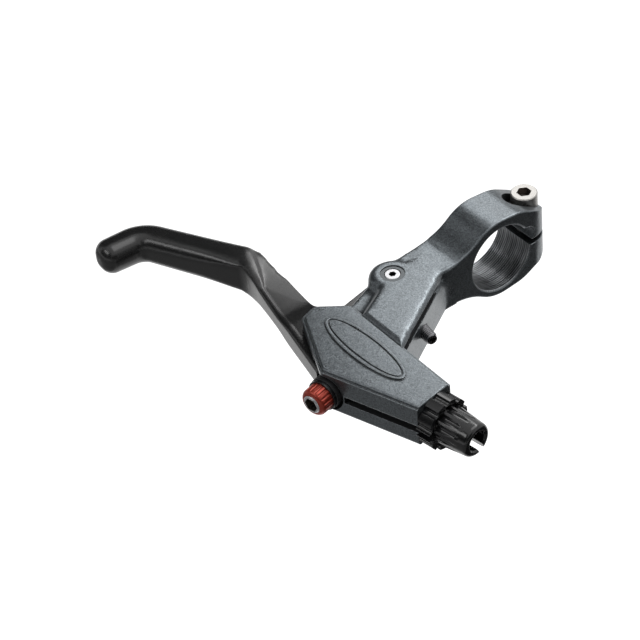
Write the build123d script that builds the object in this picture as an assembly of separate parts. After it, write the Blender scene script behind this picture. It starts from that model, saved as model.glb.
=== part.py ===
import math
import os

from build123d import *

# Flat-bar bicycle brake lever for a cable brake, in millimetres.
# The origin is the centre of the handlebar bore. +X runs inboard along the bar, -Y points forward
# to the lever, +Z is up and parallel to the lever's pivot.

# Handlebar clamp
BAR_D = 22.2
CLAMP_WIDTH = 15.0
CLAMP_WALL = 2.7
CLAMP_RISE = 0.4
CLAMP_SLIT = 2.0
CLAMP_EDGE = 0.6
BORE_CHAMFER = 0.5
RELIEF_R = 2.9
EAR_TOP = 8.6
EAR_WALL = 4.6
EAR_CORNER_R = 4.0
EAR_ROOT_R = 13.4
EAR_ROOT_Y = 4.4
JAW_CORNER_R = 6.0
JAW_DROP = 3.0

# Clamp bolt, a socket cap screw
BOLT_D = 5.0
BOLT_LENGTH = 15.0
BOLT_HEAD_D = 8.2
BOLT_HEAD_H = 5.0
BOLT_HEX = 4.0
BOLT_Y = 15.5
BOLT_SEAT_Z = 7.75
BOLT_POCKET_GAP = 0.3
BOLT_POCKET_RUN = 3.1

# Neck between the clamp and the housing
NECK_TOP = 7.4
NECK_ROOT_Y = -21.6
NECK_BEND_Y = -22.4
NECK_ROOT_FILLET = 20.0
NECK_RIGHT_SKEW = 0.6
SHOULDER_TOP = 6.2
SHELF_TOP = 4.4
SHELF_X = -6.8
SHELF_Y = -38.5
SHELF_SKEW = 0.43
SPINE_SIDE = 4.2
SPINE_ROOT_Y = -18.0
SPINE_X = -0.7
SPINE_Y = -40.1
SPINE_SKEW = 0.536
SPINE_EDGE = 2.2
FLANK_TOP = 6.0
FLANK_HEIGHT = 2.4
FLANK_DEPTH = 1.0

# Lever plane and pivot
PLANE_Z = -1.0
PIVOT_X = -2.2
PIVOT_Y = -33.8
PIVOT_D = 5.0
PIVOT_THREAD_D = 4.0
PIVOT_HEX = 2.0
PIVOT_RECESS = 0.3
PIVOT_BOSS_R = 7.4
PIVOT_WASHER_D = 7.4
PIVOT_WASHER_T = 0.8
PIVOT_NUT_D = 7.2
PIVOT_NUT_T = 1.5
PIVOT_NUT_SLOT = 1.0

# Housing around the cable carriage
PLATE_TOP = 7.0
PLATE_STEP = 0.8
LEDGE = 0.7
HOUSING_BOTTOM = -7.3
PLATE_BACK_X = 0.4
PLATE_BACK_Y = -51.7
PLATE_LEFT_X = -6.2
PLATE_LEFT_Y = -59.6
PLATE_CUT_X = -4.6
PLATE_CUT_Y = -64.8
PLATE_FRONT_X = 17.1
PLATE_FRONT_Y = -74.8
PLATE_END_WIDTH = 12.4
PLATE_CORNER_R = 2.0
PLATE_EDGE = 0.6
HOUSING_EDGE = 1.2
CAVITY_HALF = 3.8
CAVITY_WALL = 2.3
CAVITY_END_WALL = 6.5
CABLE_SLOT = 2.4
EMBLEM_LENGTH = 35.0
EMBLEM_WIDTH = 9.8
EMBLEM_RISE = 0.5
EMBLEM_BORDER = 0.9
EMBLEM_GROOVE = 0.6
EMBLEM_GROOVE_DEPTH = 0.3
EMBLEM_X = 18.4
EMBLEM_Y = -60.4

# Barrel adjuster and lock ring
BARREL_ANGLE = 8.6
BARREL_END_X = 46.9
BARREL_END_Y = -58.5
BARREL_THREAD_D = 8.0
BARREL_THREAD_LENGTH = 6.0
BARREL_LENGTH = 10.9
BARREL_BASE_D = 12.4
BARREL_TIP_D = 10.2
BARREL_FLUTES = 12
BARREL_FLUTE_R = 1.4
BARREL_FLUTE_TIP_R = 1.1
BARREL_FLUTE_DEPTH = 1.05
BARREL_TIP_ROUND = 1.5
FERRULE_D = 6.1
FERRULE_DEPTH = 8.5
FERRULE_FLARE = 0.5
CABLE_HOLE_D = 3.0
BARREL_SLOT = 2.2
BARREL_SLOT_ANGLE = 200.0
RING_D = 16.0
RING_LENGTH = 5.0
RING_LANDS = 10
RING_GROOVE_D = 2.2
RING_DISH_D = 13.2
RING_DISH = 2.0

# Lever blade
ARM_HALF = 3.4
HUB_R = 6.0
HUB_HALF = 3.0
FINGER_HALF_WIDTH = 5.2
FINGER_HALF_HEIGHT = 5.8
FINGER_START_X = -42.2
FINGER_START_Y = -58.95
FINGER_LENGTH = 31.1
FINGER_ANGLE = 206.0
TIP_BEND_R = 8.5
TIP_ANGLE = 266.0
TIP_LENGTH = 10.6
TIP_HALF_WIDTH = 5.2
TIP_HALF_HEIGHT = 5.3
TIP_ROUND = 4.2
WEB_BACK_Y = -56.4
ARM_LEFT_X = -5.0
ARMPIT_X = -10.0
ARMPIT_Y = -50.0
ARMPIT_R = 5.0
WEB_TIP_X = -41.5
WEB_TIP_Y = -53.1
WEB_TIP_R = 3.0
WEB_HEEL_X = -46.5
WEB_HEEL_Y = -55.4
RAIL_BEND_X = -35.0
RAIL_BEND_Y = -61.0
RAIL_BEND_ANGLE = -20.0
RAIL_BEND_HALF_WIDTH = 2.2
RAIL_BEND_HALF_HEIGHT = 4.8
RAIL_MID_X = -28.0
RAIL_MID_Y = -63.3
RAIL_MID_ANGLE = -14.0
RAIL_MID_HALF_WIDTH = 1.1
RAIL_MID_HALF_HEIGHT = 3.7
RAIL_END_HALF_WIDTH = 1.7
RAIL_END_INSET = 1.0
SECTION_ROUND = 0.72
TIP_SECTION_ROUND = 0.94

# Leverage dial and its lead screw
DIAL_ANGLE = 12.5
DIAL_X = 19.7
DIAL_Y = -81.5
DIAL_D = 8.6
DIAL_LENGTH = 4.8
DIAL_FLUTES = 18
DIAL_FLUTE_R = 0.5
DIAL_NOSE = 1.6
DIAL_INSET = 0.3
SCREW_HEAD_D = 5.7
SCREW_HEX = 4.0
SCREW_HEX_DEPTH = 3.0
SCREW_JOURNAL_D = 5.0
SCREW_D = 4.0
SCREW_TAIL_D = 3.0
COLLAR_D = 9.6
COLLAR_T = 1.0
BUSH_FLANGE_D = 10.0
BUSH_FLANGE_T = 2.5
BUSH_SLEEVE_D = 6.6
ORING_WIRE_D = 0.8
BOSS_D = 9.6
BOSS_LENGTH = 3.6
CLIP_D = 7.0
CLIP_T = 0.7
POCKET_LENGTH = 14.2
POCKET_SIDE = 4.2
TAIL_LENGTH = 3.4
TAIL_WALL = 1.5
TAIL_BUSH_WALL = 0.8
TAIL_WASHER_D = 5.6
TAIL_WASHER_T = 0.5

# Cable carriage on the lead screw
CARRIAGE_REST = 18.0
CARRIAGE_HALF = 3.2
CARRIAGE_SIDE = 3.4
SEAT_D = 7.1
SEAT_DEPTH = 5.6
SEAT_WALL = 1.0
SEAT_WEB = 0.8
CARRIAGE_FORWARD = 1.0
CARRIAGE_BACK = 4.2

# Pivot bushes in the lever hub
HUB_BUSH_D = 7.0
HUB_FLANGE_D = 9.4
HUB_FLANGE_T = 0.7
HUB_BUSH_LENGTH = 2.8

# Reach screw
REACH_ANGLE = -8.0
REACH_X = 8.4
REACH_Y = -36.4
REACH_D = 4.0
REACH_LENGTH = 13.0
REACH_HEX = 2.0
REACH_PAD = 5.6
REACH_PAD_TOP = 1.0

# Clearances
RUN_GAP = 0.05
SEAT_GAP = 0.02
FACE_GAP = 0.1
SWING_GAP = 0.5
CHAMFER = 0.3
PAST = 1.0

# Derived
BAR_R = BAR_D / 2
CLAMP_R = BAR_R + CLAMP_WALL
EAR_BACK = BOLT_Y + EAR_WALL
LEDGE_Z = PLATE_TOP - PLATE_STEP
BUSH_FRONT = DIAL_LENGTH + COLLAR_T + FACE_GAP
BOSS_FRONT = BUSH_FRONT + BUSH_FLANGE_T
BOSS_BACK = BOSS_FRONT + BOSS_LENGTH
POCKET_BACK = BOSS_BACK + POCKET_LENGTH
NOTCH_R = BUSH_FLANGE_D / 2 + 2 * SWING_GAP
ORING_D = SCREW_JOURNAL_D + 2 * ORING_WIRE_D
EYE_R = SEAT_D / 2 + SEAT_WALL
EYE_OFFSET = SCREW_D / 2 + SEAT_WEB + SEAT_D / 2
RING_START = FACE_GAP
BARREL_START = RING_START + RING_LENGTH + FACE_GAP
BARREL_TIP = BARREL_START + BARREL_LENGTH


def turned(angle):
    return Vector(math.cos(math.radians(angle)), math.sin(math.radians(angle)), 0)


DIAL_AXIS = Plane(
    origin=(DIAL_X, DIAL_Y, PLANE_Z), x_dir=turned(DIAL_ANGLE), z_dir=turned(DIAL_ANGLE + 90)
)
BARREL_AXIS = Plane(
    origin=(BARREL_END_X, BARREL_END_Y, PLANE_Z), x_dir=(0, 0, 1), z_dir=turned(BARREL_ANGLE)
)
REACH_AXIS = Plane(origin=(REACH_X, REACH_Y, PLANE_Z), x_dir=(0, 0, 1), z_dir=turned(REACH_ANGLE))


def on_dial(side, back):
    """Plan point beside the lead screw: side inboard of its axis, back from the dial's face."""
    point = DIAL_AXIS.origin + DIAL_AXIS.x_dir * side + DIAL_AXIS.z_dir * back
    return (point.X, point.Y)


def on_barrel(side, out):
    """Plan point beside the barrel: side behind its axis, out from the housing's end face."""
    point = BARREL_AXIS.origin - BARREL_AXIS.y_dir * side + BARREL_AXIS.z_dir * out
    return (point.X, point.Y)


def on_reach(side, out):
    """Plan point beside the reach screw: side behind its axis, out from the stop pad."""
    point = REACH_AXIS.origin - REACH_AXIS.y_dir * side + REACH_AXIS.z_dir * out
    return (point.X, point.Y)


def rod(axis, diameter, start, end):
    """Round bar along an axis plane's normal."""
    return extrude(axis.offset(start) * Circle(diameter / 2), end - start)


def tube(axis, outer, inner, start, end):
    """Round sleeve along an axis plane's normal."""
    return extrude(axis.offset(start) * (Circle(outer / 2) - Circle(inner / 2)), end - start)


def hex_socket(axis, across, start, end):
    """Hexagonal hole cutter along an axis plane's normal."""
    return extrude(axis.offset(start) * RegularPolygon(across / 2, 6, major_radius=False), end - start)


def slab(points, low, high):
    """Straight-sided block from a plan outline."""
    return extrude(Plane.XY.offset(low) * make_face(Polyline(*points, close=True)), high - low)


def rim(solid, axis, at):
    """Round edge of a turned piece nearest to a point along its axis."""
    return solid.edges().filter_by(GeomType.CIRCLE).sort_by_distance(axis.offset(at).origin)[0]


def pivot_axis(height):
    return Plane(origin=(PIVOT_X, PIVOT_Y, height))


def bolt_axis(height):
    return Plane(origin=(0, BOLT_Y, height))


def clamp_profile():
    """Side view of the clamp ring, its bolt ear and the root of the neck."""
    ring = Pos(0, CLAMP_RISE) * Circle(CLAMP_R)
    root = Pos(EAR_ROOT_Y, CLAMP_RISE) * Circle(EAR_ROOT_R)
    ear = Pos(EAR_BACK - EAR_CORNER_R, EAR_TOP - EAR_CORNER_R) * Circle(EAR_CORNER_R)
    jaw = Pos(EAR_BACK - JAW_CORNER_R, -JAW_DROP) * Circle(JAW_CORNER_R)
    hull = make_hull(ring.edges() + root.edges() + ear.edges() + jaw.edges())
    neck_height = NECK_TOP - HOUSING_BOTTOM
    neck = Pos(PIVOT_Y / 2, HOUSING_BOTTOM + neck_height / 2) * Rectangle(-PIVOT_Y, neck_height)
    outline = Sketch() + hull + neck
    corners = [v for v in outline.vertices() if PIVOT_Y + PAST < v.X < 0]
    return fillet(corners, NECK_ROOT_FILLET)


def clamp_block():
    """Clamp ring and neck root, rounded in plan behind the bolt."""
    block = extrude(Plane.YZ * clamp_profile(), CLAMP_WIDTH / 2, both=True)
    block = fillet(block.faces().filter_by(Axis.X).edges(), CLAMP_EDGE)
    back_y = EAR_BACK - CLAMP_WIDTH / 2
    plan = Pos(0, (back_y + NECK_ROOT_Y) / 2) * Rectangle(CLAMP_WIDTH, back_y - NECK_ROOT_Y)
    plan = plan + Pos(0, back_y) * Circle(CLAMP_WIDTH / 2)
    return block & extrude(plan, 2 * CLAMP_R, both=True)


def clamp_cuts():
    """Bar bore, its chamfers, the split, its relief, and the bolt's hole and milled pocket."""
    bore = rod(Plane.YZ, BAR_D, -CLAMP_WIDTH, CLAMP_WIDTH)
    for side in (-1, 1):
        mouth = Plane(origin=(side * CLAMP_WIDTH / 2, 0, 0), z_dir=(side, 0, 0))
        bore += mouth * Pos(0, 0, -BORE_CHAMFER / 2) * Cone(
            BAR_R, BAR_R + BORE_CHAMFER, BORE_CHAMFER
        )
    split = Pos(0, EAR_BACK / 2 + BAR_R / 2, 0) * Box(2 * CLAMP_WIDTH, EAR_BACK, CLAMP_SLIT)
    relief_y = BOLT_Y - BOLT_D / 2 - RELIEF_R + 2 * SEAT_GAP
    relief_axis = Plane(origin=(0, relief_y, RELIEF_R + CLAMP_SLIT / 4), z_dir=(1, 0, 0))
    relief = rod(relief_axis, 2 * RELIEF_R, -CLAMP_WIDTH, CLAMP_WIDTH)
    hole = rod(bolt_axis(BOLT_SEAT_Z), BOLT_D + 2 * SEAT_GAP, -BOLT_LENGTH - FACE_GAP, PAST)
    pocket_r = BOLT_HEAD_D / 2 + BOLT_POCKET_GAP
    pocket_front = BOLT_Y - BOLT_POCKET_RUN
    pocket_end = EAR_BACK + pocket_r
    pocket = Pos(0, pocket_front) * Circle(pocket_r)
    pocket += Pos(0, (pocket_front + pocket_end) / 2) * Rectangle(2 * pocket_r, pocket_end - pocket_front)
    return bore + split + relief + hole + extrude(Plane.XY.offset(BOLT_SEAT_Z) * pocket, CLAMP_R)


def neck_outline(left):
    """Plan of the neck, closed round its inboard side from a given outboard side."""
    half = CLAMP_WIDTH / 2
    back_y = PLATE_BACK_Y - LEDGE
    right_x = half + NECK_RIGHT_SKEW * (NECK_BEND_Y - back_y)
    return left + [(right_x, back_y), (half, NECK_BEND_Y), (half, left[0][1])]


def neck_block():
    """Low shelf and shoulder with the rounded spine and the pivot boss on top of them."""
    back_y = PLATE_BACK_Y - LEDGE
    shelf_x = SHELF_X + SHELF_SKEW * (SHELF_Y - back_y)
    half = CLAMP_WIDTH / 2
    shelf_side = [
        (-half, NECK_ROOT_Y),
        (-half, PIVOT_Y),
        (SHELF_X, SHELF_Y),
        (shelf_x, back_y),
    ]
    shelf = slab(neck_outline(shelf_side), HOUSING_BOTTOM, SHELF_TOP)
    ramp = make_face(
        Polyline(
            (PIVOT_Y, PLANE_Z),
            (PIVOT_Y, SHOULDER_TOP),
            (NECK_ROOT_Y + PAST, NECK_TOP),
            (NECK_ROOT_Y + PAST, PLANE_Z),
            close=True,
        )
    )
    shoulder = extrude(Plane.YZ.offset(-half) * ramp, half)
    outer_edges = shoulder.faces().sort_by(Axis.X)[0].edges()
    shoulder = fillet(outer_edges.sort_by(Axis.Z)[-1], CLAMP_EDGE)
    spine_x = SPINE_X + SPINE_SKEW * (SPINE_Y - back_y)
    spine_side = [
        (-SPINE_SIDE, SPINE_ROOT_Y),
        (-SPINE_SIDE, PIVOT_Y),
        (SPINE_X, SPINE_Y),
        (spine_x, back_y),
    ]
    spine = slab(neck_outline(spine_side), HOUSING_BOTTOM, NECK_TOP)
    spine += rod(pivot_axis(HOUSING_BOTTOM), 2 * PIVOT_BOSS_R, 0, NECK_TOP - HOUSING_BOTTOM)
    spine = fillet(spine.edges().group_by(Axis.Z)[-1], SPINE_EDGE)
    return shelf + shoulder + spine


def flank_groove():
    """Long groove under the spine's inboard edge."""
    half = CLAMP_WIDTH / 2
    back_y = PLATE_BACK_Y - LEDGE
    right_x = half + NECK_RIGHT_SKEW * (NECK_BEND_Y - back_y)
    depth = FLANK_DEPTH * math.hypot(1, NECK_RIGHT_SKEW)
    return slab(
        [
            (half - depth, NECK_BEND_Y),
            (right_x - depth, back_y),
            (right_x + depth, back_y),
            (half + depth, NECK_BEND_Y),
        ],
        FLANK_TOP - FLANK_HEIGHT,
        FLANK_TOP,
    )


def plate_outline():
    """Plan of the raised plate: a long hexagon that narrows to the barrel."""
    outline = make_face(
        Polyline(
            (PLATE_BACK_X, PLATE_BACK_Y),
            (PLATE_LEFT_X, PLATE_LEFT_Y),
            (PLATE_CUT_X, PLATE_CUT_Y),
            (PLATE_FRONT_X, PLATE_FRONT_Y),
            on_barrel(-PLATE_END_WIDTH / 2, 0),
            on_barrel(PLATE_END_WIDTH / 2, 0),
            close=True,
        )
    )
    left_corners = outline.vertices().sort_by(Axis.X)[:4]
    return fillet(left_corners, PLATE_CORNER_R)


def emblem_oval(inset):
    """Oval field on the plate, drawn in from its edge."""
    return Pos(EMBLEM_X, EMBLEM_Y) * Ellipse(EMBLEM_LENGTH / 2 - inset, EMBLEM_WIDTH / 2 - inset)


def housing_block():
    """Housing with its stepped plate and bare oval, squared off where the lock ring bears on it."""
    plate = plate_outline()
    block = extrude(
        Plane.XY.offset(HOUSING_BOTTOM) * offset(plate, LEDGE), LEDGE_Z - HOUSING_BOTTOM
    )
    block = fillet(block.edges().group_by(Axis.Z)[0], HOUSING_EDGE)
    top = extrude(Plane.XY.offset(LEDGE_Z) * plate, PLATE_STEP)
    top = fillet(top.edges().group_by(Axis.Z)[-1], PLATE_EDGE)
    oval_top = PLATE_TOP + EMBLEM_RISE
    oval = extrude(Plane.XY.offset(LEDGE_Z) * emblem_oval(0), oval_top - LEDGE_Z)
    line = emblem_oval(EMBLEM_BORDER) - emblem_oval(EMBLEM_BORDER + EMBLEM_GROOVE)
    oval -= extrude(Plane.XY.offset(oval_top - EMBLEM_GROOVE_DEPTH) * line, EMBLEM_RISE)
    end = extrude(BARREL_AXIS * Rectangle(2 * RING_D, 2 * RING_D), RING_D)
    return block + top + oval - end


def cavity():
    """Space in which the lever's arm and the cable carriage swing, open on the outboard side."""
    open_x = FINGER_START_X
    outline = [
        (open_x, PIVOT_Y),
        (PIVOT_X, PIVOT_Y),
        (PIVOT_X, PIVOT_Y + HUB_R + SWING_GAP),
        on_reach(REACH_PAD / 2 + SWING_GAP, 2 * SWING_GAP),
        on_reach(-REACH_PAD / 2 - SWING_GAP, 2 * SWING_GAP),
        on_dial(CARRIAGE_SIDE + 4 * SWING_GAP, POCKET_BACK + TAIL_LENGTH + TAIL_WALL),
        on_dial(EYE_OFFSET + EYE_R, POCKET_BACK + SWING_GAP),
        on_barrel(PLATE_END_WIDTH / 2 - CAVITY_WALL, -CAVITY_END_WALL),
        on_barrel(-PLATE_END_WIDTH / 2 + CAVITY_WALL, -CAVITY_END_WALL),
        on_dial(EYE_OFFSET, BOSS_FRONT),
        on_dial(CAVITY_HALF, BOSS_FRONT),
        on_dial(CAVITY_HALF, 0),
        (open_x, DIAL_Y),
    ]
    low = PLANE_Z - CAVITY_HALF
    hub_room = rod(pivot_axis(low), 2 * (PIVOT_BOSS_R + SWING_GAP), 0, 2 * CAVITY_HALF)
    return slab(outline, low, low + 2 * CAVITY_HALF) + hub_room


def dial_notch():
    """Room in the housing for the dial's boss, at rest and as it swings out to the front."""
    half = BUSH_FLANGE_D / 2 + SWING_GAP
    boss_corner = Vector(*on_dial(-BOSS_D / 2, BOSS_BACK)) - Vector(PIVOT_X, PIVOT_Y)
    inner = 2 * (boss_corner.length - SWING_GAP)
    ring = tube(pivot_axis(PLANE_Z - half), 2 * inner, inner, 0, 2 * half)
    reach = 2 * POCKET_BACK
    outboard = slab(
        [
            on_dial(0, POCKET_BACK),
            on_dial(0, -reach),
            on_dial(-reach, -reach),
            on_dial(-reach, POCKET_BACK),
        ],
        PLANE_Z - half,
        PLANE_Z + half,
    )
    return rod(DIAL_AXIS, 2 * NOTCH_R, -DIAL_LENGTH, BOSS_BACK + SWING_GAP) + (ring & outboard)


def cable_cuts():
    """Barrel thread, the slot that the cable is laid in through, and the window under its seat."""
    hole = rod(BARREL_AXIS, BARREL_THREAD_D + 2 * RUN_GAP, -CAVITY_END_WALL - PAST, PAST)
    start = on_dial(EYE_OFFSET, BOSS_FRONT)
    slot = slab(
        [start, on_barrel(0, PAST), on_barrel(-PLATE_END_WIDTH, PAST), on_dial(EYE_OFFSET, 0)],
        PLANE_Z - CABLE_SLOT / 2,
        PLANE_Z + CABLE_SLOT / 2,
    )
    window_r = SEAT_D / 2 + SWING_GAP
    window_depth = PLANE_Z - HOUSING_BOTTOM
    window = Plane(origin=(0, 0, HOUSING_BOTTOM))
    front = on_dial(EYE_OFFSET, CARRIAGE_REST - CARRIAGE_FORWARD)
    back = on_dial(EYE_OFFSET, CARRIAGE_REST + CARRIAGE_BACK)
    run = SlotCenterToCenter(CARRIAGE_FORWARD + CARRIAGE_BACK, 2 * window_r, rotation=DIAL_ANGLE + 90)
    middle = Pos((front[0] + back[0]) / 2, (front[1] + back[1]) / 2)
    return hole + slot + extrude(window * middle * run, window_depth)


def pivot_cuts():
    """Pivot bolt hole with the washer's seat above and the nut's seat below."""
    hole = rod(pivot_axis(PLANE_Z), PIVOT_D + 2 * SEAT_GAP, -CAVITY_HALF, NECK_TOP - PLANE_Z + PAST)
    thread = rod(pivot_axis(HOUSING_BOTTOM), PIVOT_THREAD_D + 2 * SEAT_GAP, -PAST, PLANE_Z - HOUSING_BOTTOM)
    washer = rod(pivot_axis(NECK_TOP), PIVOT_WASHER_D + 2 * SEAT_GAP, -PIVOT_WASHER_T - PIVOT_RECESS, PAST)
    nut = rod(pivot_axis(HOUSING_BOTTOM), PIVOT_NUT_D + 2 * SEAT_GAP, -PAST, PIVOT_NUT_T)
    return hole + thread + washer + nut


def lever_body():
    """Cast body: bar clamp, neck, and the forked housing for the lever's arm."""
    body = clamp_block() + neck_block() - flank_groove() + housing_block()
    body -= clamp_cuts()
    body -= cavity()
    body -= dial_notch()
    body -= cable_cuts()
    body -= pivot_cuts()
    body -= rod(REACH_AXIS, REACH_D + 2 * RUN_GAP, 0, 2 * REACH_LENGTH)
    return body


def clamp_bolt():
    """Socket cap screw that closes the clamp."""
    head = rod(bolt_axis(BOLT_SEAT_Z), BOLT_HEAD_D, 0, BOLT_HEAD_H)
    head = chamfer(head.edges().group_by(Axis.Z)[-1], CHAMFER)
    shank = rod(bolt_axis(BOLT_SEAT_Z), BOLT_D, -BOLT_LENGTH, 0)
    shank = chamfer(shank.edges().group_by(Axis.Z)[0], CHAMFER)
    socket = hex_socket(bolt_axis(BOLT_SEAT_Z), BOLT_HEX, BOLT_HEAD_H / 2, BOLT_HEAD_H + PAST)
    return head + shank - socket


def pivot_bolt():
    """Shouldered pivot bolt, its socket end bright in the top of the neck."""
    top = NECK_TOP - PIVOT_RECESS
    shoulder = rod(pivot_axis(PLANE_Z), PIVOT_D, -CAVITY_HALF, top - PLANE_Z)
    shoulder = chamfer(shoulder.edges().group_by(Axis.Z)[-1], CHAMFER)
    thread = rod(pivot_axis(HOUSING_BOTTOM), PIVOT_THREAD_D, 0, PLANE_Z - CAVITY_HALF - HOUSING_BOTTOM)
    socket = hex_socket(pivot_axis(top), PIVOT_HEX, -PIVOT_HEX, PAST)
    return shoulder + thread - socket


def pivot_washer():
    """Washer let into the neck around the pivot bolt's end."""
    seat = NECK_TOP - PIVOT_RECESS - PIVOT_WASHER_T
    return tube(pivot_axis(seat), PIVOT_WASHER_D, PIVOT_D + 2 * SEAT_GAP, 0, PIVOT_WASHER_T)


def pivot_nut():
    """Slotted round nut sunk into the underside."""
    nut = tube(pivot_axis(HOUSING_BOTTOM), PIVOT_NUT_D, PIVOT_THREAD_D + 2 * SEAT_GAP, 0, PIVOT_NUT_T)
    slot = Pos(PIVOT_X, PIVOT_Y, HOUSING_BOTTOM) * Box(2 * PIVOT_NUT_D, PIVOT_NUT_SLOT, PIVOT_NUT_T)
    return nut - slot


def hub_bush(side):
    """Flanged plastic bush in the lever's hub, above (1) or below (-1) the arm."""
    axis = Plane(origin=(PIVOT_X, PIVOT_Y, PLANE_Z), z_dir=(0, 0, side))
    bore = PIVOT_D + 2 * RUN_GAP
    sleeve = tube(axis, HUB_BUSH_D, bore, HUB_HALF - HUB_BUSH_LENGTH, HUB_HALF)
    return sleeve + tube(axis, HUB_FLANGE_D, bore, HUB_HALF, HUB_HALF + HUB_FLANGE_T)


def section_at(point, heading, half_width, half_height, roundness=SECTION_ROUND):
    """Rounded section of the blade, width across the blade and height along the pivot."""
    plane = Plane(origin=(point[0], point[1], PLANE_Z), x_dir=turned(heading - 90), z_dir=turned(heading))
    corner = roundness * min(half_width, half_height)
    return plane * RectangleRounded(2 * half_width, 2 * half_height, corner)


def finger():
    """Two-finger blade: straight grip with the end hooked forward."""
    start = Vector(FINGER_START_X, FINGER_START_Y, PLANE_Z)
    bend = start + turned(FINGER_ANGLE) * FINGER_LENGTH
    grip = Line(start, bend)
    hook = JernArc(bend, turned(FINGER_ANGLE), TIP_BEND_R, TIP_ANGLE - FINGER_ANGLE)
    end = Line(hook @ 1, (hook @ 1) + turned(TIP_ANGLE) * TIP_LENGTH)
    first = section_at(tuple(start), FINGER_ANGLE, FINGER_HALF_WIDTH, FINGER_HALF_HEIGHT)
    last = section_at(tuple(end @ 1), TIP_ANGLE, TIP_HALF_WIDTH, TIP_HALF_HEIGHT, TIP_SECTION_ROUND)
    blade = sweep([first, last], path=Wire([grip, hook, end]), multisection=True)
    tip_face = blade.faces().sort_by_distance(end @ 1)[0]
    return fillet(tip_face.edges(), TIP_ROUND)


def rail():
    """Tapering front rail that carries the finger's section on to the dial's boss."""
    root = section_at(
        (FINGER_START_X, FINGER_START_Y), FINGER_ANGLE + 180, FINGER_HALF_WIDTH, FINGER_HALF_HEIGHT
    )
    bend = section_at(
        (RAIL_BEND_X, RAIL_BEND_Y), RAIL_BEND_ANGLE, RAIL_BEND_HALF_WIDTH, RAIL_BEND_HALF_HEIGHT
    )
    middle = section_at(
        (RAIL_MID_X, RAIL_MID_Y), RAIL_MID_ANGLE, RAIL_MID_HALF_WIDTH, RAIL_MID_HALF_HEIGHT
    )
    boss_side = on_dial(-BOSS_D / 2, BOSS_BACK - RAIL_END_INSET)
    end = section_at(boss_side, RAIL_MID_ANGLE, RAIL_END_HALF_WIDTH, ARM_HALF)
    return loft([root, bend, middle]) + loft([middle, end], ruled=True)


def arm_outline():
    """Plan of the flat arm from the hub round the carriage's pocket to the dial's boss."""
    pad = REACH_PAD / 2
    tail_back = POCKET_BACK + TAIL_LENGTH + TAIL_WALL
    outline = make_face(
        Polyline(
            (PIVOT_X - HUB_R, PIVOT_Y),
            (ARM_LEFT_X, ARMPIT_Y),
            (ARMPIT_X, WEB_BACK_Y),
            (WEB_TIP_X, WEB_TIP_Y),
            (WEB_HEEL_X, WEB_HEEL_Y),
            (FINGER_START_X, FINGER_START_Y),
            (RAIL_BEND_X, RAIL_BEND_Y),
            (RAIL_MID_X, RAIL_MID_Y),
            on_dial(-BOSS_D / 2, BOSS_BACK - RAIL_END_HALF_WIDTH),
            on_dial(-POCKET_SIDE, BOSS_BACK - RAIL_END_HALF_WIDTH),
            on_dial(-POCKET_SIDE, POCKET_BACK),
            on_dial(CARRIAGE_SIDE, POCKET_BACK),
            on_dial(CARRIAGE_SIDE, tail_back),
            on_reach(-pad, 0),
            on_reach(REACH_PAD_TOP, 0),
            (PIVOT_X, PIVOT_Y + HUB_R),
            close=True,
        )
    )
    armpit = outline.vertices().sort_by_distance((ARMPIT_X, WEB_BACK_Y))[:1]
    outline = fillet(armpit, ARMPIT_R)
    tip = outline.vertices().sort_by_distance((WEB_TIP_X, WEB_TIP_Y))[:1]
    return fillet(tip, WEB_TIP_R)


def lever_blade():
    """Forged lever: hub, arm with the carriage's pocket, dial boss, rail and finger blade."""
    low = PLANE_Z - ARM_HALF
    blade = extrude(Plane.XY.offset(low) * arm_outline(), 2 * ARM_HALF)
    blade += rod(pivot_axis(low), 2 * HUB_R, 0, 2 * ARM_HALF)
    blade += rod(DIAL_AXIS, BOSS_D, BOSS_FRONT, BOSS_BACK)
    blade += rail()
    blade += finger()
    for side in (-1, 1):
        axis = Plane(origin=(PIVOT_X, PIVOT_Y, PLANE_Z), z_dir=(0, 0, side))
        blade -= rod(axis, 2 * (HUB_R + SWING_GAP), HUB_HALF, ARM_HALF)
    blade -= rod(pivot_axis(low), HUB_BUSH_D + 2 * SEAT_GAP, 0, 2 * ARM_HALF)
    blade -= rod(DIAL_AXIS, BUSH_SLEEVE_D + 2 * SEAT_GAP, BOSS_FRONT, BOSS_BACK)
    tail_hole = SCREW_TAIL_D + 2 * TAIL_BUSH_WALL + 2 * SEAT_GAP
    blade -= rod(DIAL_AXIS, tail_hole, POCKET_BACK, POCKET_BACK + TAIL_LENGTH)
    return blade


def dial_bush():
    """Black flanged bush that carries the dial in the lever's boss."""
    bore = SCREW_JOURNAL_D + 2 * RUN_GAP
    flange = tube(DIAL_AXIS, BUSH_FLANGE_D, bore, BUSH_FRONT, BOSS_FRONT)
    ring_seat = DIAL_LENGTH + COLLAR_T + ORING_WIRE_D + FACE_GAP
    flange -= rod(DIAL_AXIS, ORING_D + 2 * RUN_GAP, BUSH_FRONT, ring_seat)
    return flange + tube(DIAL_AXIS, BUSH_SLEEVE_D, bore, BOSS_FRONT, BOSS_BACK)


def tail_bush():
    """Plain bush for the lead screw's far end."""
    outer = SCREW_TAIL_D + 2 * TAIL_BUSH_WALL
    return tube(DIAL_AXIS, outer, SCREW_TAIL_D + 2 * RUN_GAP, POCKET_BACK, POCKET_BACK + TAIL_LENGTH)


def tail_washer():
    """Thrust washer between the lead screw's shoulder and the lever."""
    bore = SCREW_TAIL_D + 2 * RUN_GAP
    return tube(DIAL_AXIS, TAIL_WASHER_D, bore, POCKET_BACK - TAIL_WASHER_T, POCKET_BACK)


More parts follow.
